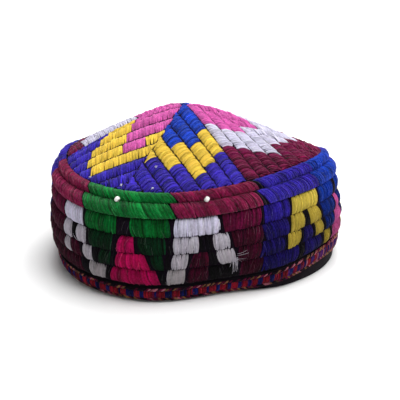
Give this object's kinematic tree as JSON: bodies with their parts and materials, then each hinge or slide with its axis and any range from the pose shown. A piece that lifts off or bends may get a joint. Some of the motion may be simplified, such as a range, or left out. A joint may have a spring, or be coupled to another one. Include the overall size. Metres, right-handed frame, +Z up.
{
  "type": "tubeteika skullcap",
  "caption": "Padded Central Asian skullcap with four ribbed crown panels, a double roll, a ribbed band and a braided rim.",
  "frame": {"origin": "under the middle of the cap's box, on the plane that the cap rests on", "axes": "+Z up to the peak; -Y out through the middle of the front crown panel; +X out through the middle of the right panel"},
  "size_m": [0.1878, 0.209, 0.0936],
  "materials": {
    "crown_yarn": "matte satin-stitched cotton yarn over padding",
    "roll_yarn": "matte cotton yarn wound over a padded roll",
    "band_yarn": "matte satin-stitched cotton yarn over padding",
    "binding_cloth": "black cotton cloth",
    "braid_yarn": "woven red, blue and gold yarn",
    "bead": "small glossy white bead"
  },
  "bodies": {
    "root": {"crown_gore_front": "crown_yarn", "crown_gore_right": "crown_yarn", "crown_gore_back": "crown_yarn", "crown_gore_left": "crown_yarn", "top_roll": "roll_yarn", "band": "band_yarn", "rim_binding": "binding_cloth", "rim_braid": "braid_yarn", "bead_left": "bead", "bead_right": "bead"}
  },
  "joints": []
}
